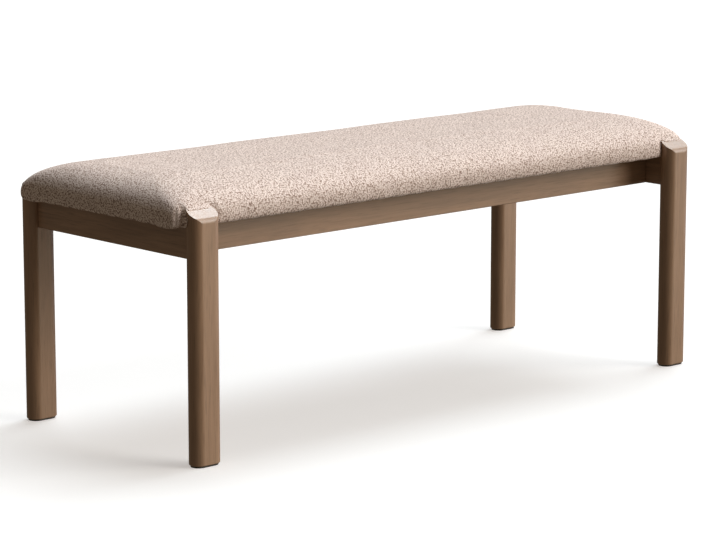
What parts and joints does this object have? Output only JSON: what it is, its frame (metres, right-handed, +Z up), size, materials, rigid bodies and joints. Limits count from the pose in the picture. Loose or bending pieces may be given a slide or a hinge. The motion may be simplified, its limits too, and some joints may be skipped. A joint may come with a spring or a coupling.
{
  "type": "upholstered bench",
  "caption": "Backless upholstered bench: a long padded fabric seat on a low wooden rail frame with flat-sided, round-edged legs whose bevelled tops follow the cushion.",
  "frame": {"origin": "on the floor under the middle of the seat, in the plane of the glides' undersides", "axes": "+X along the bench to the right of a person facing its front, +Y from the front to the back, +Z up"},
  "size_m": [1.302, 0.505, 0.4876],
  "materials": {
    "stained_hardwood": "satin",
    "beech": "matte",
    "dowel_beech": "matte",
    "plywood": "matte",
    "zinc_steel": "satin",
    "glide_plastic": "matte",
    "tweed": "matte",
    "wadding": "matte",
    "foam": "matte",
    "lining_cloth": "matte"
  },
  "bodies": {
    "root": {"front_left_leg": "stained_hardwood", "front_right_leg": "stained_hardwood", "back_left_leg": "stained_hardwood", "back_right_leg": "stained_hardwood", "front_rail": "stained_hardwood", "back_rail": "stained_hardwood", "left_end_rail": "stained_hardwood", "right_end_rail": "stained_hardwood", "left_bearer": "beech", "right_bearer": "beech", "front_left_corner_block": "beech", "front_right_corner_block": "beech", "back_left_corner_block": "beech", "back_right_corner_block": "beech", "leg_dowels": "dowel_beech", "rail_dowels": "dowel_beech", "bearer_dowels": "dowel_beech", "corner_block_screws": "zinc_steel", "bearer_screws": "zinc_steel", "seat_bolts": "zinc_steel", "seat_bolt_washers": "zinc_steel", "seat_tee_nuts": "zinc_steel", "front_left_glide": "glide_plastic", "front_right_glide": "glide_plastic", "back_left_glide": "glide_plastic", "back_right_glide": "glide_plastic", "glide_nails": "zinc_steel", "seat_board": "plywood", "dust_cover": "lining_cloth", "seat_foam": "foam", "seat_wadding": "wadding", "seat_cover": "tweed"}
  },
  "joints": []
}
